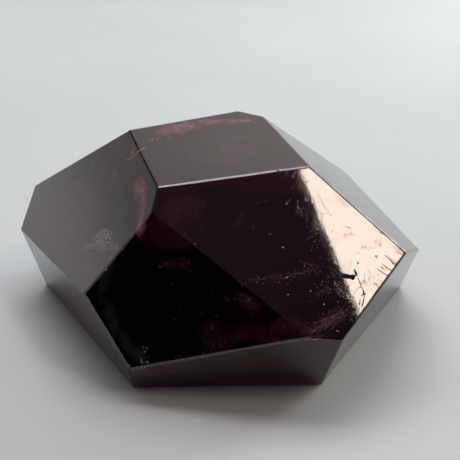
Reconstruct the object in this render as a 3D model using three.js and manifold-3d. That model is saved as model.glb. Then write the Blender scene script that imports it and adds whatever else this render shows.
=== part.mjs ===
// A cut and polished garnet: one solid stone with flat facets, resting on its ground base.
// Millimetres, +Z up. The stone's long axis lies along X, and its crown slopes down towards -Y.
// The origin is on the ground, under the middle of the stone's bounding box.
import * as THREE from "three";
import { mergeVertices } from "three/addons/utils/BufferGeometryUtils.js";
import Module from "manifold-3d";

// The rough block the facets are ground from, and the point inside it that facet depths are taken from.
const ROUGH_WIDTH = 80;
const ROUGH_DEPTH = 80;
const ROUGH_HEIGHT = 50;
const HEART_HEIGHT = 13; // above the ground
const WHEEL = 200; // side of the grinding block, larger than the rough in every direction

// Each facet is ground square to a direction, down to a depth from the heart.
// azimuth: degrees from the front (-Y), positive towards +X. elevation: degrees above level,
// negative where the facet overhangs. depth: millimetres from the heart to the facet.
const FACETS = [
  // the crown
  { name: "table", azimuth: 7, elevation: 79.5, depth: 14.9 },
  { name: "front_crown", azimuth: 14, elevation: 48.5, depth: 17.6 },
  { name: "left_crown", azimuth: -61, elevation: 40, depth: 18.2 },
  { name: "right_crown", azimuth: 102, elevation: 49.5, depth: 16.8 },
  { name: "back_left_crown", azimuth: -155, elevation: 50.5, depth: 14.8 },
  { name: "back_right_crown", azimuth: 151, elevation: 54.5, depth: 16.8 },
  // the belt, closer to upright
  { name: "front_left_belt", azimuth: -13.5, elevation: 21, depth: 21 },
  { name: "left_belt", azimuth: -111, elevation: -7.5, depth: 29.3 },
  { name: "right_belt", azimuth: 107, elevation: 9.5, depth: 26.8 },
  { name: "back_left_belt", azimuth: -134, elevation: 19, depth: 26.4 },
  // the overhanging lower facets
  { name: "front_lower", azimuth: 1.5, elevation: -25.5, depth: 24.9 },
  { name: "left_lower", azimuth: -56.5, elevation: -15, depth: 23.6 },
  { name: "right_lower", azimuth: 58, elevation: -20, depth: 26.2 },
  { name: "back_left_lower", azimuth: -157, elevation: -13, depth: 24.4 },
  { name: "back_lower", azimuth: 172, elevation: -17, depth: 23.8 },
  { name: "back_right_lower", azimuth: 138, elevation: -10, depth: 30.2 },
];

// A small bite broken from the front left bottom corner: its middle and its size.
const CHIP = { x: -11.1, y: -23.9, z: 4.4, radius: 1.1 };

const GARNET_COLOUR = 0x2b0b12;
const GARNET_ROUGHNESS = 0.12;

const wasm = await Module();
wasm.setup();

// A three.js geometry as a solid that can be joined and cut.
function solidOf(geometry) {
  const loose = geometry.index ? geometry.toNonIndexed() : geometry;
  const bare = new THREE.BufferGeometry();
  bare.setAttribute("position", loose.getAttribute("position"));
  const merged = mergeVertices(bare, 1e-4);
  return new wasm.Manifold(
    new wasm.Mesh({
      numProp: 3,
      vertProperties: new Float32Array(merged.attributes.position.array),
      triVerts: new Uint32Array(merged.index.array),
    }),
  );
}

// The solid back as a flat-shaded three.js geometry.
function geometryOf(solid) {
  const mesh = solid.getMesh();
  const geometry = new THREE.BufferGeometry();
  const corners = new THREE.BufferAttribute(new Float32Array(mesh.vertProperties), mesh.numProp);
  geometry.setAttribute("position", corners);
  geometry.setIndex(new THREE.BufferAttribute(new Uint32Array(mesh.triVerts), 1));
  const flat = geometry.toNonIndexed();
  flat.computeVertexNormals();
  return flat;
}

function directionOf({ azimuth, elevation }) {
  const turn = THREE.MathUtils.degToRad(azimuth);
  const lift = THREE.MathUtils.degToRad(elevation);
  const level = Math.cos(lift);
  return new THREE.Vector3(Math.sin(turn) * level, -Math.cos(turn) * level, Math.sin(lift));
}

// The block that grinds one facet: its face lies on the facet, and its body lies outside the stone.
function wheelFor(facet) {
  const outwards = directionOf(facet);
  const turn = new THREE.Quaternion().setFromUnitVectors(new THREE.Vector3(0, 0, 1), outwards);
  const middle = new THREE.Vector3(0, 0, HEART_HEIGHT).addScaledVector(
    outwards,
    facet.depth + WHEEL / 2,
  );
  return new THREE.BoxGeometry(WHEEL, WHEEL, WHEEL)
    .applyQuaternion(turn)
    .translate(middle.x, middle.y, middle.z);
}

function stoneGeometry() {
  const rough = new THREE.BoxGeometry(ROUGH_WIDTH, ROUGH_DEPTH, ROUGH_HEIGHT);
  let stone = solidOf(rough.translate(0, 0, ROUGH_HEIGHT / 2));
  for (const facet of FACETS) stone = stone.subtract(solidOf(wheelFor(facet)));
  const chip = new THREE.IcosahedronGeometry(CHIP.radius, 1).translate(CHIP.x, CHIP.y, CHIP.z);
  stone = stone.subtract(solidOf(chip));

  // Set the origin on the ground, under the middle of the bounding box.
  const geometry = geometryOf(stone);
  geometry.computeBoundingBox();
  const middle = geometry.boundingBox.getCenter(new THREE.Vector3());
  return geometry.translate(-middle.x, -middle.y, 0);
}

const garnet = new THREE.Mesh(
  stoneGeometry(),
  new THREE.MeshStandardMaterial({
    color: GARNET_COLOUR,
    roughness: GARNET_ROUGHNESS,
    metalness: 0,
  }),
);
garnet.name = "garnet_crystal";

const object = new THREE.Group();
object.name = "garnet";
object.add(garnet);

export default object;
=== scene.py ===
"""A cut and polished garnet on a pale floor.

The script is laid out as an add-on and is run as a script.
"""

import math
import random

import bpy
from mathutils import Matrix, Quaternion, Vector


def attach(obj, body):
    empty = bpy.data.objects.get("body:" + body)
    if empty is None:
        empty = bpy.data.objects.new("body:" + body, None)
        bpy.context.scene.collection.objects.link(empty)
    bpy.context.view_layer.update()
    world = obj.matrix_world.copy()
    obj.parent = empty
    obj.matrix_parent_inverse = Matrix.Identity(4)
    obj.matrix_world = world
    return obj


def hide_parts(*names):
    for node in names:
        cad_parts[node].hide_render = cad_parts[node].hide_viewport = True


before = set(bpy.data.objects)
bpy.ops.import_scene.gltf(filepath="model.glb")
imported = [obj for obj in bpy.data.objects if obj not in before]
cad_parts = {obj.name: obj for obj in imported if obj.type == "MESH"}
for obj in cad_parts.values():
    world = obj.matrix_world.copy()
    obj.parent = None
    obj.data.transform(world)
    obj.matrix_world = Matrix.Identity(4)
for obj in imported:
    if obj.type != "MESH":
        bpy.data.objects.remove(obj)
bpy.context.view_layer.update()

bl_info = {
    "name": "Polished Garnet",
    "version": (1, 0, 0),
    "blender": (4, 5, 0),
    "location": "3D View > Sidebar > Garnet",
    "description": "Builds a cut and polished garnet freeform and its studio stage",
    "category": "Object",
}

MM = 0.001
NODE = "garnet_crystal"
BODY = "root"

# The facets: name, degrees round from the front, degrees above level, millimetres from the heart.
HEART_HEIGHT = 13.0
FACETS = [
    ("table", 7, 79.5, 14.9),
    ("front_crown", 14, 48.5, 17.6),
    ("left_crown", -61, 40, 18.2),
    ("right_crown", 102, 49.5, 16.8),
    ("back_left_crown", -155, 50.5, 14.8),
    ("back_right_crown", 151, 54.5, 16.8),
    ("front_left_belt", -13.5, 21, 21),
    ("left_belt", -111, -7.5, 29.3),
    ("right_belt", 107, 9.5, 26.8),
    ("back_left_belt", -134, 19, 26.4),
    ("front_lower", 1.5, -25.5, 24.9),
    ("left_lower", -56.5, -15, 23.6),
    ("right_lower", 58, -20, 26.2),
    ("back_left_lower", -157, -13, 24.4),
    ("back_lower", 172, -17, 23.8),
    ("back_right_lower", 138, -10, 30.2),
]
ROUGH_BLOCK = (80, 80, 50)
HEART = Vector((0.286, 0.584, HEART_HEIGHT)) * MM

# What is chipped out of the stone: facet, across, up, length, width, depth in millimetres, and turn.
BITES = [
    # the hooked pit on the front crown, and the crack that runs down from it
    ("front_crown", 10.3, -14.95, 1.2, 0.34, 0.16, -14),
    ("front_crown", 11.25, -15.4, 1.5, 0.7, 0.34, -20),
    ("front_crown", 12.05, -15.6, 0.9, 0.6, 0.32, 40),
    ("front_crown", 12.55, -15.1, 0.34, 1.0, 0.26, 12),
    ("front_crown", 12.75, -16.5, 0.15, 1.6, 0.2, 6),
    ("front_crown", 12.9, -17.8, 0.15, 1.4, 0.2, -6),
    ("front_crown", 12.5, -19.0, 0.14, 1.4, 0.2, -28),
    ("front_crown", 12.1, -18.9, 0.12, 1.0, 0.16, -20),
    # nicks along the table's edges
    ("table", 8.6, 1.05, 0.7, 0.3, 0.22, -60),
    ("table", 8.25, 1.75, 0.4, 0.22, 0.16, -60),
    ("table", 6.98, -8.36, 0.5, 0.34, 0.24, 8),
    ("table", 7.6, -8.28, 0.26, 0.24, 0.18, 8),
    ("table", 5.2, -8.66, 0.26, 0.2, 0.12, 8),
    # chips along the front crown's lower edges and at its right tip
    ("front_crown", 10.9, -21.45, 0.6, 0.34, 0.3, 42),
    ("front_crown", 10.1, -22.15, 0.4, 0.28, 0.24, 42),
    ("front_crown", 12.1, -20.35, 0.3, 0.24, 0.2, 42),
    ("front_crown", 16.3, -16.6, 0.3, 0.22, 0.18, 42),
    ("right_crown", -9.6, -22.9, 1.0, 0.6, 0.4, 30),
    ("front_crown", 7.2, -23.0, 0.4, 0.3, 0.24, -12),
    # the knocked corner at the front left, and pits near it
    ("front_left_belt", -4.9, -17.1, 0.8, 0.5, 0.25, 10),
    ("front_lower", -11.4, 1.3, 0.5, 0.9, 0.2, 0),
    ("front_lower", -11.5, -1.0, 0.6, 0.9, 0.25, 10),
    ("front_left_belt", -3.1, -14.2, 0.55, 0.7, 0.3, 20),
    ("front_left_belt", -2.9, -15.2, 0.4, 0.5, 0.24, -30),
    ("front_left_belt", -3.3, -15.9, 0.7, 0.4, 0.26, 10),
    ("front_lower", 5.18, 6.31, 0.7, 0.34, 0.22, 8),
    ("left_lower", 7.3, -1.2, 0.3, 0.3, 0.2, 0),
]

# Small pits in the front crown's bright part: across, up, length, width and turn.
PITS = [
    (9.2, -2.0, 0.3, 0.2, 30),
    (11.1, -7.0, 0.26, 0.18, 70),
    (12.4, -10.0, 0.4, 0.12, 50),
    (13.3, -9.9, 0.26, 0.16, 10),
    (13.5, -12.6, 0.26, 0.16, 40),
    (10.8, -9.3, 0.5, 0.12, 65),
    (14.1, -16.0, 0.3, 0.2, 20),
    (17.3, -10.3, 0.7, 0.14, -20),
    (14.7, -16.8, 0.22, 0.16, 0),
    (14.2, -11.9, 0.5, 0.1, 50),
    (10.0, -4.3, 0.22, 0.18, 0),
    (12.1, -13.7, 0.3, 0.12, 80),
    (15.9, -13.4, 0.34, 0.1, 55),
    (16.6, -12.0, 0.24, 0.14, 15),
]
PIT_DEPTH = 0.1

# How wide the resting face's edges are, next to the others, and how high up an edge may lie, in
# millimetres, and still belong to that face.
BASE_EDGE = 0.15
AT_BASE = 0.001
# How many steps go round an edge, and the sharpest turn that is shaded smooth, in degrees.
EDGE_STEPS = 3
SMOOTH_TURN = 36
# The least cosine between the directions of a face and of the facet that it is part of.
SAME_WAY = 0.999995

# The front crown's haze: how far it leans from upright, and how far across its middle lies, in
# millimetres.
HAZE_LEAN = 0.161
HAZE_ACROSS = 8.45
# That crown's lower right edge: how far out it lies, and the way it faces, across and up.
EDGE_OUT = 23.26
EDGE_FACES = (0.6654, -0.7466)
# How near to one half the noise of a hairline is, from its middle to its rim.
HAIRLINE_REACH = (0.002, 0.007)
GARNET_IOR = 1.79
# How far relief of 1 stands out, in millimetres.
RELIEF = 0.02

# Threads sealed in the stone, point by point: facet, across, up and depth in millimetres.
NEEDLE = [
    ("left_crown", -1.45, 1.25, 0.17),
    ("left_crown", -0.3, 2.3, 0.16),
    ("table", -10.86, -1.8, 0.15),
    ("table", -10.05, -1.2, 0.14),
]
HAIRLINES = [
    [("front_crown", across, up, depth) for across, up in line]
    for depth, line in (
        (0.12, [(5.6, -12.55), (6.5, -13.05), (7.7, -13.5)]),
        (0.12, [(9.1, -13.75), (9.9, -14.5), (10.7, -15.1)]),
        (0.14, [(6.9, -13.2), (7.3, -14.0), (7.6, -14.9)]),
        (0.2, [(3.1, -14.7), (4.6, -14.2), (6.4, -14.3)]),
        (0.1, [(7.3, -6.1), (7.45, -7.0)]),
        (0.1, [(7.7, -1.6), (8.0, -2.6)]),
        (0.1, [(9.3, -7.9), (9.6, -9.2), (10.0, -10.6)]),
    )
]

# Widths of the threads, the sides of their tubes, and the points made for each one given.
NEEDLE_WIDTH = 0.22
HAIRLINE_WIDTH = 0.05
RAY_WIDTH = 0.1
THREAD_SIDES = 6
PATH_STEPS = 4

# How far under the surface the leaves and the small pieces are cut, and how thick a leaf is.
LEAF_COVER = 0.06
GRAIN_COVER = 0.03
LEAF_THICKNESS = 0.02
# How bright the dark patches of a veil are, next to its pale ones.
VEIL_SHADE = 0.75

# Leaves sealed in the stone: facet, across, up, depth, width, height in millimetres, and turn.
FRACTURE = [
    ("left_crown", 4.7, -8.9, 0.9, 6.4, 3.8, 12),
    ("left_crown", 2.5, -11.0, 0.9, 4.0, 1.4, 28),
    ("left_crown", 7.6, -8.3, 1.0, 3.4, 1.8, 10),
    ("left_crown", 9.0, -9.8, 1.0, 2.6, 1.1, -20),
]
RAYS = [
    [("left_crown", a, u, 0.9) for a, u in ray]
    for ray in (
        [(1.4, -11.9), (2.6, -10.9), (4.2, -9.4), (5.9, -8.7)],
        [(2.9, -8.2), (4.1, -7.5), (5.8, -7.4), (7.4, -8.2)],
        [(3.0, -8.9), (4.4, -8.1), (6.1, -8.1), (8.2, -9.2)],
        [(3.6, -10.3), (4.9, -9.5), (6.8, -9.5)],
        [(4.0, -7.9), (4.6, -8.9), (4.7, -9.9)],
        [(6.3, -7.9), (6.0, -8.9), (6.9, -9.8)],
    )
]
MILKY = [
    ("left_crown", -4.5, -7.0, 1.4, 27, 19, 20),
    ("left_crown", 3.5, -12.0, 1.6, 12, 9, 0),
    ("table", 2.0, -1.5, 1.6, 20, 14, 6),
]
ROSE = [
    ("table", -6.4, 3.7, 0.9, 7.4, 4.8, 14),
    ("table", -3.8, 4.7, 1.0, 6.4, 4.4, 8),
    ("table", -0.4, 5.6, 1.0, 5.4, 2.8, 8),
    ("table", 3.4, 5.6, 1.1, 5.6, 2.4, 2),
    ("left_crown", -1.6, 2.6, 0.7, 3.6, 1.2, -52),
    ("left_crown", 4.9, -0.6, 0.8, 4.6, 2.8, -52),
    ("left_crown", 7.3, -1.2, 0.8, 7.4, 2.8, -36),
    ("left_crown", 10.0, -3.6, 0.8, 6.0, 2.4, -58),
    ("front_left_belt", -5.2, -17.0, 0.5, 1.8, 1.2, 20),
]
PLUM = [
    ("front_left_belt", -1.4, 0.4, 0.9, 8.0, 4.4, -22),
    ("front_left_belt", 0.6, -2.9, 1.0, 6.0, 2.4, -6),
    ("front_left_belt", 5.4, -11.8, 1.1, 8.6, 6.4, 12),
    ("front_left_belt", 9.4, -10.4, 1.2, 7.0, 4.0, 14),
    ("front_left_belt", 9.6, -6.8, 0.9, 5.0, 3.6, -32),
    ("front_left_belt", 13.2, -10.4, 0.9, 7.0, 3.4, 6),
    ("front_crown", -7.8, -4.0, 1.8, 9.0, 9.0, -30),
    ("front_crown", 2.4, -20.4, 1.4, 9.0, 3.6, 6),
    ("front_lower", 1.4, 1.8, 0.9, 12.0, 5.2, 6),
    ("front_lower", 10.2, 2.6, 0.9, 9.0, 5.0, 0),
]
WISPS = [
    ("front_crown", 8.0, -20.5, 0.7, 8.6, 2.0, 14),
    ("front_crown", 10.6, -19.4, 0.6, 4.6, 2.4, 48),
    ("front_crown", 2.2, -14.3, 0.9, 9.0, 1.7, -2),
    ("front_crown", 6.6, -13.9, 0.7, 5.4, 1.5, 6),
    ("front_crown", 7.8, -16.7, 0.8, 4.4, 1.5, 10),
    ("front_left_belt", 9.4, -6.4, 0.7, 3.8, 2.0, -30),
    ("front_left_belt", -0.8, -3.2, 0.8, 4.6, 1.4, -4),
]

# Grains: facet, across, up, depth, spread across and up, how many, size in millimetres.
GRAINS = [
    ("front_crown", -0.9, -14.1, 0.6, (0.9, 0.35), 16, 0.26),
    ("front_crown", 2.9, -14.5, 0.6, (1.3, 0.35), 20, 0.22),
    ("front_crown", 5.5, -14.2, 0.5, (0.9, 0.3), 16, 0.2),
    ("front_crown", 7.7, -13.9, 0.4, (0.7, 0.25), 14, 0.18),
    ("front_crown", 7.8, -16.6, 0.5, (0.9, 0.4), 18, 0.2),
    ("front_crown", 9.0, -20.3, 0.5, (1.6, 0.5), 20, 0.2),
    ("front_crown", 10.8, -19.8, 0.4, (0.6, 0.7), 16, 0.2),
    ("front_left_belt", 9.2, -6.2, 0.6, (0.9, 0.6), 14, 0.28),
    ("front_left_belt", 5.2, -6.6, 0.6, (1.8, 0.6), 9, 0.2),
    ("front_left_belt", 3.4, -9.0, 0.6, (0.7, 0.7), 7, 0.22),
    ("front_left_belt", 6.2, -10.9, 0.6, (1.4, 0.8), 9, 0.24),
    ("front_left_belt", 3.7, -12.6, 0.6, (1.3, 0.8), 14, 0.22),
    ("front_left_belt", -0.6, -3.0, 0.6, (1.6, 0.5), 10, 0.22),
    ("front_left_belt", -0.2, -6.6, 0.4, (0.2, 0.8), 5, 0.2),
    ("left_crown", 9.2, -9.5, 0.7, (1.0, 0.5), 12, 0.2),
    ("left_crown", 7.1, -1.6, 0.6, (0.5, 0.9), 14, 0.22),
]
FLAKES = [
    ("front_left_belt", -1.94, -3.55, 0.4, (0.12, 0.12), 3, 0.4),
    ("front_left_belt", -8.98, -4.65, 0.1, (0.1, 0.1), 3, 0.34),
    ("front_left_belt", -3.1, -14.4, 0.15, (0.3, 0.6), 14, 0.36),
    ("front_left_belt", -3.3, -15.9, 0.15, (0.45, 0.35), 14, 0.34),
    ("front_left_belt", -5.0, -16.3, 0.3, (0.6, 0.4), 24, 0.3),
    ("left_crown", -1.85, -1.33, 0.4, (0.35, 0.3), 7, 0.22),
    ("table", -8.66, 0.86, 0.3, (0.8, 0.35), 12, 0.3),
    ("table", -5.6, 5.1, 0.3, (1.8, 0.4), 14, 0.26),
    ("table", 1.8, 5.2, 0.3, (2.4, 0.4), 12, 0.3),
    ("table", 4.47, -0.65, 0.5, (0.3, 0.3), 4, 0.22),
    ("front_crown", 7.53, -1.62, 0.1, (0.25, 0.4), 5, 0.22),
    ("front_crown", 6.32, -4.06, 0.1, (0.1, 0.1), 2, 0.2),
    ("front_crown", 7.34, -6.14, 0.1, (0.3, 0.5), 5, 0.16),
    ("front_crown", 2.84, -8.63, 0.2, (0.1, 0.1), 2, 0.24),
    ("front_crown", 8.6, -16.5, 0.15, (0.8, 0.5), 18, 0.2),
    ("front_crown", 10.7, -20.1, 0.15, (0.7, 0.8), 34, 0.2),
    ("front_crown", 8.6, -20.6, 0.2, (1.2, 0.5), 22, 0.17),
    # This cluster, near the front crown's haze, is painted glints of the lamp.
    ("front_crown", 9.4, -7.6, 0.1, (0.6, 2.6), 14, 0.13),
]

# Fine pale flakes all along the dark side of the front crown's haze: painted glints, where the haze catches
# the lamp.
FLAKES += [
    ("front_crown", 7.2 - HAZE_LEAN * up, up, 0.03, (0.75, 0.7), 16, 0.15)
    for up in range(-19, -1, 2)
]

# The strands of the wispy veil near the front crown's lower right edge.
STRANDS = 44
STRAND_PATH = [
    ("front_crown", 4.6, -22.0, 0.5),
    ("front_crown", 6.6, -21.2, 0.5),
    ("front_crown", 8.4, -20.5, 0.45),
    ("front_crown", 10.0, -20.0, 0.4),
    ("front_crown", 11.3, -18.9, 0.35),
]
STRAND_SPREAD = 0.6
STRAND_WIDTH = 0.03

# The nearly black sheet of painted shade behind the front left belt: across, up, depth and side of
# the sheet, the edge that it stops at, and the middle and radius of the smoky arc in it.
DARK_ZONE = (-6.5, -8.0, 0.35, 22.0)
DARK_EDGE = [(-3.6, 0.2), (-0.35, -6.16), (3.38, -13.9)]
ARC_MIDDLE = (1.5, -6.0)
ARC_RADIUS = 10.7
DARK_THICKNESS = 0.1

# The lights: where each stands and its size, in metres, and how bright its face is. The lamp's own
# brightness is a setting. The tent is open, and so dark, towards its opening.
LAMP_PLACE = (0.2257, -0.1279, 0.4026)
LAMP_TURN = (28.8, 13.4, 37.3)
LAMP_SIZE = (0.052, 0.135)
OVERHEAD_PLACE = (-0.08, 0.25, 0.62)
OVERHEAD_SIZE = (0.60, 0.36)
OVERHEAD_GLOW = 4.0
SIDE_LIGHT_PLACE = (0.34, 0.25, 0.16)
SIDE_LIGHT_AIM = (0.05, 0, 0)
SIDE_LIGHT_SIZE = (0.20, 0.20)
SIDE_LIGHT_GLOW = 7.0
TENT_OPENING = (0.02, -0.76, 0.62)

# The floor's side and how far under the stone it lies, in metres.
FLOOR_SIDE = 6.0
FLOOR_GAP = 0.03 * MM

# The camera: where it stands in millimetres, its tilt and turn in degrees, and its lens and sensor.
CAMERA_PLACE = (2.429, -99.395, 63.798)
CAMERA_TILT = 90 - 27.269
CAMERA_TURN = 0.110
CAMERA_LENS = 58.496
CAMERA_SENSOR = 36.0


# ---------------------------------------------------------------- the facets' own directions


def outwards(azimuth, elevation):
    """The direction a facet faces."""
    turn, lift = math.radians(azimuth), math.radians(elevation)
    level = math.cos(lift)
    return Vector((math.sin(turn) * level, -math.cos(turn) * level, math.sin(lift)))


class Facet:
    """One facet: its middle and its directions across, up and out, in metres in the part's frame."""

    def __init__(self, name):
        _, azimuth, elevation, depth = next(f for f in FACETS if f[0] == name)
        self.out = outwards(azimuth, elevation)
        turn = math.radians(azimuth)
        self.across = Vector((math.cos(turn), math.sin(turn), 0))
        self.up = self.out.cross(self.across)
        self.middle = HEART + self.out * depth * MM

    def at(self, across, up, depth=0.0):
        """A point on the facet, or that many millimetres under it."""
        return self.middle + (self.across * across + self.up * up - self.out * depth) * MM

    def placing(self, across, up, depth=0.0, turn=0.0):
        """Where a small shape goes: its Z points out of the stone, and it is turned about that."""
        side = Quaternion(self.out, math.radians(turn)) @ self.across
        turned = Matrix((side, self.out.cross(side), self.out)).transposed()
        return Matrix.Translation(self.at(across, up, depth)) @ turned.to_4x4()


def spot(place):
    """The point named by facet, across, up and depth."""
    name, across, up, depth = place
    return Facet(name).at(across, up, depth)


# ---------------------------------------------------------------- shader maths as expressions


class Value:
    """A number socket that can be added, multiplied and so on; each step adds a Math node."""

    def __init__(self, tree, socket):
        self.tree, self.socket = tree, socket

    def _step(self, operation, *others):
        node = self.tree.nodes.new("ShaderNodeMath")
        node.operation = operation
        for slot, other in zip(node.inputs, (self, *others)):
            if isinstance(other, Value):
                self.tree.links.new(other.socket, slot)
            else:
                slot.default_value = other
        return Value(self.tree, node.outputs[0])

    def _flipped(self, operation, other):
        node = self.tree.nodes.new("ShaderNodeMath")
        node.operation = operation
        node.inputs[0].default_value = other
        self.tree.links.new(self.socket, node.inputs[1])
        return Value(self.tree, node.outputs[0])

    def __add__(self, other):
        return self._step("ADD", other)

    __radd__ = __add__

    def __sub__(self, other):
        return self._step("SUBTRACT", other)

    def __rsub__(self, other):
        return self._flipped("SUBTRACT", other)

    def __mul__(self, other):
        return self._step("MULTIPLY", other)

    __rmul__ = __mul__

    def __mod__(self, other):
        return self._step("FLOORED_MODULO", other)

    def __abs__(self):
        return self._step("ABSOLUTE")

    def clamped(self):
        return self._step("MAXIMUM", 0.0)._step("MINIMUM", 1.0)


class Finish:
    """A new material, or the world's own nodes, with one method that adds any node."""

    def __init__(self, tree):
        self.tree = tree
        tree.nodes.clear()

    def node(self, kind, settings=None, output=0, **inputs):
        """A node of that type: its settings are set first, then the values or links of its sockets."""
        made = self.tree.nodes.new(kind)
        for name, value in (settings or {}).items():
            setattr(made, name, value)
        for name, value in inputs.items():
            socket = self._socket(made, name)
            if isinstance(value, Value):
                self.tree.links.new(value.socket, socket)
            else:
                socket.default_value = value
        return Value(self.tree, made.outputs[output])

    @staticmethod
    def _socket(made, name):
        """The input of that name, written with _ for a space; in_0 or in_1 is the one at that place."""
        if name.startswith("in_"):
            return made.inputs[int(name[3:])]
        wanted = name.replace("_", " ").lower()
        return next(s for s in made.inputs if s.name.lower() == wanted and s.enabled)

    def place(self):
        return self.node("ShaderNodeTexCoord", output=3)

    def grain(self, place, size_mm, detail=2.0, roughness=0.5):
        """Noise from 0 to 1 whose lumps are about that many millimetres across."""
        return self.node(
            "ShaderNodeTexNoise",
            Vector=place,
            Scale=1 / (size_mm * MM),
            Detail=detail,
            Roughness=roughness,
        )

    def along(self, place, start, axis):
        """How far place is from start along that axis, in millimetres."""
        away = self.vector("SUBTRACT", place, tuple(start))
        return self.vector("DOT_PRODUCT", away, tuple(axis), output=1) * (1 / MM)

    def stretched(self, place, turn, share):
        """The place turned, and its Y shortened to that share, which draws a pattern out along Y."""
        return self.node("ShaderNodeMapping", Vector=place, Rotation=turn, Scale=(1.0, share, 1.0))

    def hairline(self, place, size_mm):
        """Thin wandering lines: where smooth noise passes one half."""
        level = self.grain(place, size_mm, detail=1.0)
        return self.between(abs(level - 0.5), *HAIRLINE_REACH, 1.0, 0.0)

    def between(self, value, low, high, to_low=0.0, to_high=1.0):
        """value taken smoothly from low..high to to_low..to_high, and held at the ends."""
        return self.node(
            "ShaderNodeMapRange",
            {"interpolation_type": "SMOOTHSTEP"},
            in_0=value,
            in_1=low,
            in_2=high,
            in_3=to_low,
            in_4=to_high,
        )

    def blend(self, share, first, second):
        """A colour between first and second."""
        return self.node(
            "ShaderNodeMix", {"data_type": "RGBA"}, output=2, in_0=share, in_6=first, in_7=second
        )

    def vector(self, operation, first, second, output=0):
        return self.node(
            "ShaderNodeVectorMath", {"operation": operation}, output, in_0=first, in_1=second
        )

    def finish(self, kind, surface, volume=None):
        out = self.tree.nodes.new(kind)
        self.tree.links.new(surface.socket, out.inputs["Surface"])
        if volume is not None:
            self.tree.links.new(volume.socket, out.inputs["Volume"])


def new_material(name):
    material = bpy.data.materials.new(name)
    material.use_nodes = True
    return material, Finish(material.node_tree)


def tint(colour):
    return (*colour[:3], 1.0)


# ---------------------------------------------------------------- modelling helpers


def object_mode():
    if bpy.context.object and bpy.context.object.mode != "OBJECT":
        bpy.ops.object.mode_set(mode="OBJECT")


def deselect_all():
    object_mode()
    bpy.ops.object.select_all(action="DESELECT")


def pick(piece):
    deselect_all()
    piece.select_set(True)
    bpy.context.view_layer.objects.active = piece


def apply_place(piece):
    pick(piece)
    bpy.ops.object.transform_apply(location=True, rotation=True, scale=True)


def apply_modifier(piece, modifier):
    pick(piece)
    bpy.ops.object.modifier_apply(modifier=modifier.name)


def join_pieces(pieces, name):
    """Joins the pieces into one object of that name."""
    deselect_all()
    for piece in pieces:
        piece.select_set(True)
    bpy.context.view_layer.objects.active = pieces[0]
    bpy.ops.object.join()
    joined = bpy.context.object
    joined.name = joined.data.name = name
    apply_place(joined)
    return joined


def hand_over(piece, material):
    """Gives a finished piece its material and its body."""
    piece.data.materials.clear()
    piece.data.materials.append(material)
    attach(piece, BODY)


def all_planes(inset):
    """The planes of the facets and the base, moved in by that many millimetres: a point and a direction."""
    for name, *_ in FACETS:
        facet = Facet(name)
        yield facet.middle - facet.out * inset * MM, facet.out
    yield Vector((0, 0, inset * MM)), Vector((0, 0, -1))


def trim_to_stone(piece, inset, close=False):
    """Cuts off what would stand nearer to the stone's surface than inset, and may close the cuts.

    Bisect's threshold is left at 0.1 mm, so what lies no further than that past a cut can stay, and
    a little of it comes out of the stone.
    """
    pick(piece)
    bpy.ops.object.mode_set(mode="EDIT")
    for point, direction in all_planes(inset):
        bpy.ops.mesh.select_all(action="SELECT")
        bpy.ops.mesh.bisect(plane_co=point, plane_no=direction, use_fill=close, clear_outer=True)
    bpy.ops.object.mode_set(mode="OBJECT")


def thicken(piece, thickness):
    """Gives a sheet that many millimetres of thickness, half of it on each side."""
    shell = piece.modifiers.new("thickness", "SOLIDIFY")
    shell.thickness = thickness * MM
    shell.offset = 0
    apply_modifier(piece, shell)


def flatten_facets(piece):
    """Shades each ground facet dead flat, so that all the rounding is in the edges beside it."""
    pick(piece)
    bpy.ops.object.mode_set(mode="EDIT")
    bpy.ops.mesh.select_mode(type="FACE")
    bpy.ops.mesh.select_all(action="DESELECT")
    bpy.ops.object.mode_set(mode="OBJECT")
    ways = [direction for _, direction in all_planes(0)]
    for face in piece.data.polygons:
        face.select = any(face.normal.dot(way) > SAME_WAY for way in ways)
    bpy.ops.object.mode_set(mode="EDIT")
    bpy.ops.mesh.set_normals_from_faces(keep_sharp=True)
    bpy.ops.object.mode_set(mode="OBJECT")


def roughen(amount, seed, along_normals=1.0):
    """Moves the vertices of the mesh in edit mode a little, the same way each time."""
    bpy.ops.mesh.select_all(action="SELECT")
    bpy.ops.transform.vertex_random(offset=amount, uniform=0.0, normal=along_normals, seed=seed)


def add_bite(index, name, across, up, size, turn):
    """A rough lump, sunk half into a facet, that cuts one chip."""
    deselect_all()
    bpy.ops.mesh.primitive_ico_sphere_add(subdivisions=2, radius=0.5)
    bite = bpy.context.object
    bpy.ops.object.mode_set(mode="EDIT")
    roughen(0.06, index, 0.4)
    bpy.ops.object.mode_set(mode="OBJECT")
    length, width, depth = (side * MM for side in size)
    scale = Matrix.Diagonal((length, width, depth * 2, 1))
    bite.matrix_world = Facet(name).placing(across, up, 0.0, turn) @ scale
    apply_place(bite)
    return bite


def add_leaf(name, across, up, depth, wide, high, turn, cells=10):
    """A flat leaf under a facet; its UV map runs from 0 to 1 each way."""
    deselect_all()
    bpy.ops.mesh.primitive_grid_add(x_subdivisions=cells, y_subdivisions=cells, size=1.0)
    leaf = bpy.context.object
    scale = Matrix.Diagonal((wide * MM, high * MM, 1, 1))
    leaf.matrix_world = Facet(name).placing(across, up, depth, turn) @ scale
    apply_place(leaf)
    return leaf


def leaves(title, places, material, ripple=0.03, cells=10):
    """One piece of thin leaves sealed in the stone."""
    piece = join_pieces([add_leaf(*place, cells=cells) for place in places], title)
    bpy.ops.object.mode_set(mode="EDIT")
    roughen(ripple * MM, 3)
    bpy.ops.object.mode_set(mode="OBJECT")
    trim_to_stone(piece, LEAF_COVER)
    thicken(piece, LEAF_THICKNESS)
    hand_over(piece, material)


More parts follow.
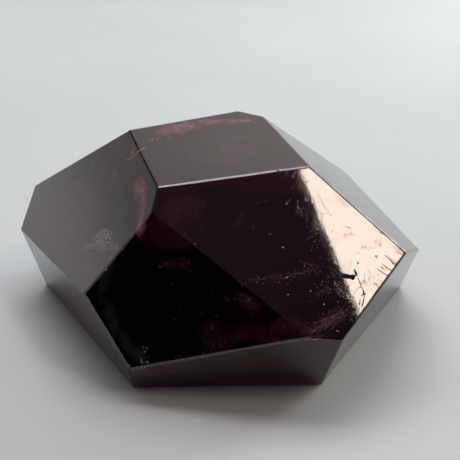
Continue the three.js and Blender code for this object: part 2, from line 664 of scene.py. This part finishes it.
def add_thread(points, width):
    """A thin tube through the points, drawn out from a disc and thin at both ends."""
    deselect_all()
    heading = (points[1] - points[0]).to_track_quat("Z", "Y").to_euler()
    radius = width * MM / 2
    bpy.ops.mesh.primitive_circle_add(
        vertices=THREAD_SIDES, radius=radius, fill_type="NGON", location=points[0], rotation=heading
    )
    thread = bpy.context.object
    apply_place(thread)
    bpy.ops.object.mode_set(mode="EDIT")
    bpy.ops.mesh.select_all(action="SELECT")
    steps = len(points) - 1
    for i, (start, end) in enumerate(zip(points, points[1:])):
        bpy.ops.mesh.extrude_region_move(TRANSFORM_OT_translate={"value": end - start})
        if i == steps - 1:
            bpy.ops.transform.resize(value=(0.3,) * 3, center_override=end)
    bpy.ops.mesh.select_all(action="SELECT")
    bpy.ops.mesh.normals_make_consistent(inside=False)
    bpy.ops.object.mode_set(mode="OBJECT")
    return thread


def smooth_path(points):
    """More points on a smooth line through the given ones."""
    line = [points[0], *points, points[-1]]
    path = []
    for a, b, c, d in zip(line, line[1:], line[2:], line[3:]):
        for i in range(PATH_STEPS):
            t = i / PATH_STEPS
            path.append(
                0.5
                * (
                    2 * b
                    + (c - a) * t
                    + (2 * a - 5 * b + 4 * c - d) * t**2
                    + (3 * b - a - 3 * c + d) * t**3
                )
            )
    return [*path, points[-1]]


def scatter_grains(title, spots, chance):
    """One piece of small rough grains: facet, across, up, depth, reach, how many, size in millimetres."""
    deselect_all()
    bpy.ops.mesh.primitive_ico_sphere_add(subdivisions=1, radius=0.5)
    first = bpy.context.object
    bpy.ops.object.mode_set(mode="EDIT")
    roughen(0.12, 5, 0.3)
    bpy.ops.object.mode_set(mode="OBJECT")
    grains = []
    for name, across, up, depth, (reach, rise), count, size in spots:
        for _ in range(count):
            grain = first.copy()
            grain.data = first.data.copy()
            bpy.context.scene.collection.objects.link(grain)
            length = size * chance.uniform(0.5, 1.4)
            width = length * MM * chance.uniform(0.3, 0.8)
            scale = Matrix.Diagonal((length * MM, width, length * MM * 0.4, 1))
            grain.matrix_world = Facet(name).placing(
                across + chance.gauss(0, reach),
                up + chance.gauss(0, rise),
                depth + chance.uniform(0, 0.5),
                chance.uniform(0, 180),
            ) @ scale
            grains.append(grain)
    bpy.data.objects.remove(first)
    return join_pieces(grains, title)


# ---------------------------------------------------------------- settings


class GarnetSettings(bpy.types.PropertyGroup):
    """The stone's own sizes and colours."""

    edge_radius: bpy.props.FloatProperty(
        name="Edge width",
        description="Width of the polished rounding along every edge",
        default=0.28 * MM,
        min=0.05 * MM,
        max=1 * MM,
        unit="LENGTH",
    )
    depth_colour: bpy.props.FloatVectorProperty(
        name="Depth colour",
        description="Colour that light keeps as it passes through the stone",
        default=(0.75, 0.59, 0.655),
        min=0,
        max=1,
        size=3,
        subtype="COLOR",
    )
    depth_density: bpy.props.FloatProperty(
        name="Depth density",
        description="How fast light fades inside the stone, per metre",
        default=440.0,
        min=0,
    )
    rose: bpy.props.FloatVectorProperty(
        name="Rose",
        description="Colour of the needle and of the veils that glow",
        default=(0.80, 0.26, 0.32),
        min=0,
        max=1,
        size=3,
        subtype="COLOR",
    )
    mauve: bpy.props.FloatVectorProperty(
        name="Mauve",
        description="Colour of the grains and wisps",
        default=(0.42, 0.19, 0.24),
        min=0,
        max=1,
        size=3,
        subtype="COLOR",
    )
    foil: bpy.props.FloatVectorProperty(
        name="Foil",
        description="Colour of the fracture's crinkled face",
        default=(0.80, 0.74, 0.66),
        min=0,
        max=1,
        size=3,
        subtype="COLOR",
    )


class StageSettings(bpy.types.PropertyGroup):
    """The floor and the lights."""

    floor_colour: bpy.props.FloatVectorProperty(
        name="Floor colour",
        description="Colour of the plain floor",
        default=(0.60, 0.675, 0.67),
        min=0,
        max=1,
        size=3,
        subtype="COLOR",
    )
    lamp_colour: bpy.props.FloatVectorProperty(
        name="Lamp colour",
        description="Colour of the warm lamp that the front crown mirrors",
        default=(1.0, 0.80, 0.68),
        min=0,
        max=1,
        size=3,
        subtype="COLOR",
    )
    lamp_glow: bpy.props.FloatProperty(
        name="Lamp glow",
        description="Brightness of the warm lamp's face",
        default=12.5,
        min=0,
    )


# ---------------------------------------------------------------- finishes


def garnet_material(settings):
    """Clear, nearly black wine red, polished, with hairlines and pits; its resting face is ground."""
    material, finish = new_material("garnet_polished")
    place = finish.place()

    # The front crown's haze, thickest along a line down its right half.
    crown = Facet("front_crown")
    axes = (crown.across, crown.up, crown.out)
    across, up, out = (finish.along(place, crown.middle, axis) for axis in axes)
    on_crown = finish.between(abs(out), 0.02, 0.12, 1.0, 0.0)
    off_line = across + up * HAZE_LEAN - HAZE_ACROSS
    haze = on_crown * finish.between(off_line, -3.6, -0.2) * finish.between(off_line, 0.1, 1.2, 1.0, 0.12)
    worn = on_crown * finish.between(off_line, -2.5, 0.5)

    # Short strokes like a comb's along the crown's lower right edge.
    facing_across, facing_up = EDGE_FACES
    off_edge = EDGE_OUT - across * facing_across - up * facing_up
    beside = up * facing_across - across * facing_up
    comb = on_crown * finish.between(off_edge, 0.5, 2.6, 1.0, 0.0) * finish.between(across, 13.5, 16.5)
    combed = finish.node("ShaderNodeCombineXYZ", in_0=beside, in_1=off_edge * 0.14)

    speck = finish.grain(place, 0.13, detail=2.0)
    peel = finish.grain(place, 0.42, detail=2.0)
    ripple = finish.grain(place, 2.6, detail=1.0)
    drawn = finish.stretched(place, (0.5, 0.3, 0.9), 0.22)
    crossing = finish.stretched(place, (0.2, 0.6, -0.7), 0.3)
    lines = finish.hairline(drawn, 1.3) + finish.hairline(crossing, 1.9)
    here = finish.between(finish.grain(place, 3.4, detail=2.0), 0.5, 0.62)
    lines = (lines * here).clamped() * (worn * 0.7 + 0.1)
    away = finish.node("ShaderNodeTexVoronoi", Vector=place, Scale=1 / (1.1 * MM))
    pits = finish.between(away, 0.06, 0.13, 1.0, 0.0)
    teeth = finish.node("ShaderNodeTexNoise", Vector=combed, Scale=3.2, Detail=1.0)
    strokes = finish.between(teeth, 0.55, 0.68) * comb

    # The resting face is ground rough, and painted nearly black as painted shade where the stone rests, so
    # it lets in hardly any light.
    height = finish.node("ShaderNodeSeparateXYZ", in_0=place, output=2) * (1 / MM)
    ground = finish.between(height, 0.03, 0.08, 1.0, 0.0)
    painted_base_shade = finish.between(height, 0.10, 0.16, 1.0, 0.0)

    roughness = (
        finish.between(speck, 0.4, 0.8, 0.012, 0.04)
        + haze * finish.between(peel, 0.42, 0.66, 0.004, 0.022)
        + lines * 0.05
        + strokes * 0.10
        + ground * 0.8
    ).clamped()
    raised = ripple * 0.06 + haze * peel * 0.05 + haze * speck * 0.012
    relief = raised - pits * 0.5 - lines * 0.08 - strokes * 0.5
    bump = finish.node("ShaderNodeBump", Strength=1.0, Distance=RELIEF * MM, Height=relief)
    # Pits, and hairlines less so, are painted darker grey: painted shade in those hollows.
    colour = finish.blend((pits + lines * 0.3).clamped(), (1, 0.97, 0.98, 1), (0.45, 0.40, 0.40, 1))
    # Painted shade: the foot of the stone is painted nearly black.
    colour = finish.blend(painted_base_shade, colour, (0.004, 0.002, 0.002, 1))
    surface = finish.node(
        "ShaderNodeBsdfPrincipled",
        Base_Color=colour,
        Roughness=roughness,
        IOR=GARNET_IOR,
        Transmission_Weight=1.0,
        Normal=bump,
    )
    volume = finish.node(
        "ShaderNodeVolumeAbsorption",
        Color=tint(settings.depth_colour),
        Density=settings.depth_density,
    )
    finish.finish("ShaderNodeOutputMaterial", surface, volume)
    return material


def veil_material(name, colour, thickest, streak_mm, low, high):
    """A thin cloud that fades to nothing at its rim and is broken into streaks."""
    material, finish = new_material(name)
    place = finish.place()
    flat = finish.node("ShaderNodeTexCoord", output=2)
    from_middle = finish.vector("DISTANCE", flat, (0.5, 0.5, 0.0), output=1)
    drift = finish.grain(place, 1.7, detail=4.0, roughness=0.6)
    rim = finish.between(from_middle, 0.36, 0.49, 1.0, 0.0)
    fade = finish.between(from_middle + drift * 0.9 - 0.45, 0.02, 0.42, 1.0, 0.0) * rim
    streaks = finish.between(finish.grain(place, streak_mm, detail=5.0, roughness=0.62), low, high)
    alpha = fade * streaks * thickest
    patches = finish.between(finish.grain(place, streak_mm * 1.7, detail=3.0), 0.35, 0.65)
    dim = [c * VEIL_SHADE for c in colour]
    surface = finish.node(
        "ShaderNodeBsdfPrincipled",
        Base_Color=finish.blend(patches, tint(dim), tint(colour)),
        Roughness=finish.between(patches, 0.0, 1.0, 0.35, 0.6),
        Specular_IOR_Level=0.1,
        Alpha=alpha,
    )
    finish.finish("ShaderNodeOutputMaterial", surface)
    return material


def grain_material(name, colour, pale):
    """Fine crystals: each patch is somewhere between the colour and a paler one, with a rough face."""
    material, finish = new_material(name)
    place = finish.place()
    patches = finish.grain(place, 0.5, detail=3.0)
    fine = finish.grain(place, 0.08, detail=2.0)
    bump = finish.node("ShaderNodeBump", Strength=0.6, Distance=0.02 * MM, Height=fine)
    share = finish.between(patches, 0.45, 0.75)
    surface = finish.node(
        "ShaderNodeBsdfPrincipled",
        Base_Color=finish.blend(share, tint(colour), tint(pale)),
        Roughness=finish.between(fine, 0.3, 0.7, 0.25, 0.5),
        Normal=bump,
    )
    finish.finish("ShaderNodeOutputMaterial", surface)
    return material


def foil_material(settings):
    """The crinkled, silvery face of a crack, with curved steps and rays; its pale ridges are painted
    highlight and the dark gaps between them painted shade.
    """
    material, finish = new_material("fracture_foil")
    place = finish.place()
    flat = finish.node("ShaderNodeTexCoord", output=2)
    from_middle = finish.vector("DISTANCE", flat, (0.5, 0.5, 0.0), output=1)
    torn = finish.grain(place, 0.9, detail=5.0, roughness=0.65)
    fade = finish.between(from_middle + torn * 0.5 - 0.25, 0.26, 0.44, 1.0, 0.0)
    steps = finish.node("ShaderNodeTexNoise", Vector=place, Scale=1 / (1.6 * MM), Detail=2.0, Distortion=1.2)
    ridges = finish.between(abs(steps * 9.0 % 1.0 - 0.5), 0.1, 0.42)
    scraps = finish.between(finish.grain(place, 0.4, detail=4.0), 0.4, 0.62)
    alpha = fade * (ridges * 0.75 + scraps * 0.45).clamped() * 0.92
    # Painted shade: a dark copy of the foil's colour fills the gaps between the ridges.
    shade = [c * 0.3 for c in settings.foil]
    bump = finish.node("ShaderNodeBump", Strength=1.0, Distance=0.12 * MM, Height=ridges * 0.5 + torn)
    surface = finish.node(
        "ShaderNodeBsdfPrincipled",
        Base_Color=finish.blend(ridges, tint(shade), tint(settings.foil)),
        Roughness=finish.between(torn, 0.3, 0.7, 0.22, 0.5),
        Alpha=alpha,
        Normal=bump,
    )
    finish.finish("ShaderNodeOutputMaterial", surface)
    return material


def painted_shade_material():
    """A nearly black sheet of painted shade, with two faint smoky arcs."""
    material, finish = new_material("painted_shade_sheet")
    place = finish.place()
    belt = Facet("front_left_belt")
    middle = belt.at(*ARC_MIDDLE)
    from_middle = finish.vector("DISTANCE", place, tuple(middle), output=1) * (1 / MM)
    smoke = finish.grain(place, 2.5, detail=3.0)
    arc = finish.between(abs(from_middle - ARC_RADIUS + smoke * 1.6 - 0.8), 0.1, 1.3, 1.0, 0.0)
    share = arc * finish.between(smoke, 0.3, 0.62)
    # Painted shade: the sheet is nearly black, its smoky arcs a little lighter.
    surface = finish.node(
        "ShaderNodeBsdfPrincipled",
        Base_Color=finish.blend(share, (0.0025, 0.0022, 0.0024, 1), (0.06, 0.058, 0.06, 1)),
        Roughness=finish.between(smoke, 0.3, 0.7, 0.5, 0.8),
        Specular_IOR_Level=0.0,
    )
    finish.finish("ShaderNodeOutputMaterial", surface)
    return material


def floor_material(settings):
    """Plain and pale, with a faint broad cloudiness."""
    material, finish = new_material("floor_pale")
    place = finish.place()
    cloud = finish.grain(place, 60.0, detail=4.0)
    low = [c * 0.96 for c in settings.floor_colour]
    colour = finish.blend(finish.between(cloud, 0.3, 0.7), tint(low), tint(settings.floor_colour))
    surface = finish.node("ShaderNodeBsdfPrincipled", Base_Color=colour, Roughness=0.85)
    finish.finish("ShaderNodeOutputMaterial", surface)
    return material


# ---------------------------------------------------------------- operators


class GARNET_OT_stone(bpy.types.Operator):
    """Cuts the stone's facets from a block, rounds its edges and knocks out its chips"""

    bl_idname = "garnet.stone"
    bl_label = "Cut the stone"

    def execute(self, context):
        settings = context.scene.garnet
        deselect_all()
        wide, deep, high = (side * MM for side in ROUGH_BLOCK)
        bpy.ops.mesh.primitive_cube_add(size=1, location=(0, 0, high / 2), scale=(wide, deep, high))
        stone = context.object
        stone.name = stone.data.name = "garnet_stone"
        apply_place(stone)
        bpy.ops.object.mode_set(mode="EDIT")
        bpy.ops.mesh.select_all(action="SELECT")
        bpy.ops.transform.translate(value=(HEART.x, HEART.y, 0))
        for name, *_ in FACETS:
            facet = Facet(name)
            bpy.ops.mesh.select_all(action="SELECT")
            bpy.ops.mesh.bisect(
                plane_co=facet.middle, plane_no=facet.out, use_fill=True, clear_outer=True
            )
        bpy.ops.mesh.select_all(action="SELECT")
        bpy.ops.mesh.remove_doubles(threshold=1e-6)
        bpy.ops.object.mode_set(mode="OBJECT")

        # The resting face's edges stay crisper than the rest.
        weights = stone.data.attributes.new("bevel_weight_edge", "FLOAT", "EDGE")
        for edge, weight in zip(stone.data.edges, weights.data):
            heights = [stone.data.vertices[i].co.z for i in edge.vertices]
            weight.value = BASE_EDGE if max(heights) < AT_BASE * MM else 1.0
        rounding = stone.modifiers.new("edges", "BEVEL")
        rounding.width = settings.edge_radius
        rounding.segments = EDGE_STEPS
        rounding.limit_method = "WEIGHT"
        rounding.harden_normals = False
        apply_modifier(stone, rounding)

        bites = [
            add_bite(i, name, across, up, size, turn)
            for i, (name, across, up, *size, turn) in enumerate(BITES)
        ]
        for i, (across, up, length, width, turn) in enumerate(PITS, start=len(BITES)):
            bites.append(add_bite(i, "front_crown", across, up, (length, width, PIT_DEPTH), turn))
        cutter = join_pieces(bites, "bites")
        chipping = stone.modifiers.new("chips", "BOOLEAN")
        chipping.operation = "DIFFERENCE"
        chipping.solver = "EXACT"
        chipping.use_self = True
        chipping.object = cutter
        apply_modifier(stone, chipping)
        bpy.data.objects.remove(cutter)

        pick(stone)
        bpy.ops.object.shade_smooth_by_angle(angle=math.radians(SMOOTH_TURN))
        weigh = stone.modifiers.new("flat_facets", "WEIGHTED_NORMAL")
        weigh.mode = "FACE_AREA"
        weigh.weight = 100
        weigh.keep_sharp = True
        apply_modifier(stone, weigh)
        flatten_facets(stone)

        hand_over(stone, garnet_material(settings))
        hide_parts(NODE)
        return {"FINISHED"}


class GARNET_OT_threads(bpy.types.Operator):
    """Seals the rose needle, the pale hairlines and the mauve strands in the stone"""

    bl_idname = "garnet.threads"
    bl_label = "Seal in the threads"

    def execute(self, context):
        settings = context.scene.garnet
        needle = add_thread(smooth_path([spot(p) for p in NEEDLE]), NEEDLE_WIDTH)
        needle.name = needle.data.name = "needle"
        hand_over(needle, grain_material("needle_rose", settings.rose, (0.85, 0.55, 0.58)))
        lines = [add_thread(smooth_path([spot(p) for p in line]), HAIRLINE_WIDTH) for line in HAIRLINES]
        piece = join_pieces(lines, "hairlines")
        hand_over(piece, grain_material("hairline_pale", (0.34, 0.26, 0.27), (0.62, 0.52, 0.52)))
        chance = random.Random(4)
        strands = []
        for _ in range(STRANDS):
            first = chance.randrange(0, 3)
            path = []
            for name, across, up, depth in STRAND_PATH[first : first + chance.randrange(2, 4)]:
                across += chance.gauss(0, STRAND_SPREAD)
                up += chance.gauss(0, STRAND_SPREAD)
                path.append(spot((name, across, up, depth)))
            strands.append(add_thread(smooth_path(path), STRAND_WIDTH))
        piece = join_pieces(strands, "strands")
        trim_to_stone(piece, GRAIN_COVER, close=True)
        hand_over(piece, grain_material("strand_mauve", settings.mauve, (0.60, 0.42, 0.46)))
        return {"FINISHED"}


class GARNET_OT_fracture(bpy.types.Operator):
    """Seals the crinkled silvery fracture in the stone"""

    bl_idname = "garnet.fracture"
    bl_label = "Seal in the fracture"

    def execute(self, context):
        settings = context.scene.garnet
        foil = foil_material(settings)
        leaves("fracture", FRACTURE, foil, ripple=0.12, cells=22)
        rays = [add_thread(smooth_path([spot(p) for p in ray]), RAY_WIDTH) for ray in RAYS]
        piece = join_pieces(rays, "fracture_rays")
        hand_over(piece, grain_material("fracture_ray", (0.72, 0.68, 0.62), (0.95, 0.93, 0.88)))
        return {"FINISHED"}


class GARNET_OT_veils(bpy.types.Operator):
    """Seals the veils, the soft glows and the milky cloud in the stone"""

    bl_idname = "garnet.veils"
    bl_label = "Seal in the veils"

    def execute(self, context):
        settings = context.scene.garnet
        rose, mauve = settings.rose, settings.mauve
        leaves("milky_veils", MILKY, veil_material("veil_milky", (0.46, 0.32, 0.34), 0.26, 2.2, 0.36, 0.66))
        leaves("rose_veils", ROSE, veil_material("veil_rose", rose, 0.9, 1.3, 0.18, 0.56))
        leaves("plum_veils", PLUM, veil_material("veil_plum", (0.15, 0.022, 0.05), 0.9, 1.6, 0.2, 0.56))
        leaves("wisps", WISPS, veil_material("veil_wisp", mauve, 0.72, 0.38, 0.44, 0.66))
        return {"FINISHED"}


class GARNET_OT_grains(bpy.types.Operator):
    """Seals the clusters of small grains in the stone"""

    bl_idname = "garnet.grains"
    bl_label = "Seal in the grains"

    def execute(self, context):
        settings = context.scene.garnet
        chance = random.Random(11)
        mauve = scatter_grains("mauve_grains", GRAINS, chance)
        trim_to_stone(mauve, GRAIN_COVER, close=True)
        hand_over(mauve, grain_material("grain_mauve", settings.mauve, (0.66, 0.44, 0.48)))
        # The pale flakes along the front crown's haze are painted glints of the lamp.
        pale = scatter_grains("pale_flakes", FLAKES, chance)
        trim_to_stone(pale, GRAIN_COVER, close=True)
        hand_over(pale, grain_material("flake_pale", (0.55, 0.44, 0.42), (0.9, 0.82, 0.78)))
        return {"FINISHED"}


class GARNET_OT_dark_zone(bpy.types.Operator):
    """Seals a nearly black sheet of painted shade behind the front left belt"""

    bl_idname = "garnet.dark_zone"
    bl_label = "Seal in the dark zone"

    def execute(self, context):
        deselect_all()
        belt = Facet("front_left_belt")
        across, up, depth, side = DARK_ZONE
        bpy.ops.mesh.primitive_grid_add(x_subdivisions=12, y_subdivisions=12, size=side * MM)
        zone = context.object
        zone.name = zone.data.name = "dark_zone"
        zone.matrix_world = belt.placing(across, up, depth)
        apply_place(zone)
        bpy.ops.object.mode_set(mode="EDIT")
        for start, end in zip(DARK_EDGE, DARK_EDGE[1:]):
            run = (end[0] - start[0]) * belt.across + (end[1] - start[1]) * belt.up
            bpy.ops.mesh.select_all(action="SELECT")
            bpy.ops.mesh.bisect(
                plane_co=belt.at(*start, depth), plane_no=run.cross(-belt.out), clear_outer=True
            )
        bpy.ops.object.mode_set(mode="OBJECT")
        trim_to_stone(zone, LEAF_COVER)
        thicken(zone, DARK_THICKNESS)
        hand_over(zone, painted_shade_material())
        return {"FINISHED"}


class GARNET_OT_stage(bpy.types.Operator):
    """Lays the floor and sets the lights and the camera"""

    bl_idname = "garnet.stage"
    bl_label = "Set the stage"

    def execute(self, context):
        settings = context.scene.garnet_stage
        deselect_all()
        bpy.ops.mesh.primitive_plane_add(size=FLOOR_SIDE, location=(0, 0, -FLOOR_GAP))
        floor = context.object
        floor.name = floor.data.name = "floor"
        floor.data.materials.append(floor_material(settings))

        self.light_world(context)
        self.add_lamp(settings)
        self.add_overhead()
        self.add_side_light()
        self.add_camera(context)
        context.scene.view_settings.view_transform = "Standard"
        return {"FINISHED"}

    def light_world(self, context):
        """A pale light tent, brighter to the right, that is open, and so dark, on the camera's side."""
        world = bpy.data.worlds.new("light_tent")
        world.use_nodes = True
        context.scene.world = world
        finish = Finish(world.node_tree)
        direction = finish.node("ShaderNodeTexCoord", output=0)
        opening = tuple(Vector(TENT_OPENING).normalized())
        towards = finish.vector("DOT_PRODUCT", direction, opening, output=1)
        tent = finish.between(towards, 0.64, 0.40)
        side = finish.node("ShaderNodeSeparateXYZ", in_0=direction, output=0)
        height = finish.node("ShaderNodeSeparateXYZ", in_0=direction, output=2)
        low = finish.between(height, 0.12, 0.24, 0.64, 0.44)
        left = finish.between(side, -0.7, -0.3, 0.2, 0.0) * finish.between(height, 0.14, 0.26, 1.0, 0.0)
        high = finish.between(height, 0.3, 0.62, 0.0, 0.32)
        right = finish.between(side, -0.2, 0.25, 1.0, 1.5)
        upper = finish.between(height, 0.32, 0.45)
        flanks = finish.between(abs(side), 0.3, 0.46)
        ceiling = finish.between(height, 0.74, 0.90, 0.0, 0.11)
        glow = finish.blend(
            finish.between(height, 0.35, 0.65), (1.0, 0.95, 0.94, 1.0), (1.0, 0.89, 0.88, 1.0)
        )
        warm = finish.blend(finish.between(height, 0.76, 0.84), glow, (1.0, 0.58, 0.78, 1.0))
        walls = tent * (low + left + high) * right * (1 - upper * flanks * 0.75)
        strength = walls + ceiling * (1 - tent) + 0.004
        surface = finish.node("ShaderNodeBackground", Color=warm, Strength=strength)
        finish.finish("ShaderNodeOutputWorld", surface)

    def add_light(self, name, place, size, glow):
        """A flat light that faces down; glow is how bright its face is."""
        deselect_all()
        wide, high = size
        bpy.ops.object.light_add(type="AREA", location=place)
        light = bpy.context.object
        light.name = light.data.name = name
        light.data.shape = "RECTANGLE"
        light.data.size, light.data.size_y = wide, high
        light.data.energy = glow * math.pi * wide * high
        return light

    def add_lamp(self, settings):
        """The warm lamp: it stands where the front crown mirrors it to the camera."""
        lamp = self.add_light("warm_lamp", LAMP_PLACE, LAMP_SIZE, settings.lamp_glow)
        lamp.rotation_euler = [math.radians(a) for a in LAMP_TURN]
        lamp.data.color = settings.lamp_colour

    def add_overhead(self):
        """The broad light overhead, which brings out the upper edges."""
        self.add_light("overhead", OVERHEAD_PLACE, OVERHEAD_SIZE, OVERHEAD_GLOW)

    def add_side_light(self):
        """The low light on the right, which lights the floor there."""
        light = self.add_light("side_light", SIDE_LIGHT_PLACE, SIDE_LIGHT_SIZE, SIDE_LIGHT_GLOW)
        away = light.location - Vector(SIDE_LIGHT_AIM)
        light.rotation_euler = away.to_track_quat("Z", "Y").to_euler()

    def add_camera(self, context):
        deselect_all()
        bpy.ops.object.camera_add(location=[c * MM for c in CAMERA_PLACE])
        camera = context.object
        camera.name = "camera"
        camera.rotation_euler = (math.radians(CAMERA_TILT), 0, math.radians(CAMERA_TURN))
        camera.data.sensor_width = CAMERA_SENSOR
        camera.data.lens = CAMERA_LENS
        camera.data.clip_start = 1 * MM
        camera.data.clip_end = 20
        context.scene.camera = camera


class GARNET_PT_panel(bpy.types.Panel):
    """The garnet's steps and settings"""

    bl_idname = "GARNET_PT_panel"
    bl_label = "Polished Garnet"
    bl_space_type = "VIEW_3D"
    bl_region_type = "UI"
    bl_category = "Garnet"

    def draw(self, context):
        for step in STEPS:
            self.layout.operator(step.bl_idname)
        for group in (context.scene.garnet, context.scene.garnet_stage):
            for name in group.bl_rna.properties.keys():
                if name not in ("rna_type", "name"):
                    self.layout.prop(group, name)


STEPS = (
    GARNET_OT_stone,
    GARNET_OT_threads,
    GARNET_OT_fracture,
    GARNET_OT_veils,
    GARNET_OT_grains,
    GARNET_OT_dark_zone,
    GARNET_OT_stage,
)
CLASSES = (GarnetSettings, StageSettings, *STEPS, GARNET_PT_panel)


def register():
    for cls in CLASSES:
        bpy.utils.register_class(cls)
    bpy.types.Scene.garnet = bpy.props.PointerProperty(type=GarnetSettings)
    bpy.types.Scene.garnet_stage = bpy.props.PointerProperty(type=StageSettings)


def unregister():
    del bpy.types.Scene.garnet_stage
    del bpy.types.Scene.garnet
    for cls in reversed(CLASSES):
        bpy.utils.unregister_class(cls)


def main():
    register()
    bpy.ops.garnet.stone()
    bpy.ops.garnet.threads()
    bpy.ops.garnet.fracture()
    bpy.ops.garnet.veils()
    bpy.ops.garnet.grains()
    bpy.ops.garnet.dark_zone()
    bpy.ops.garnet.stage()


if __name__ == "__main__":
    main()
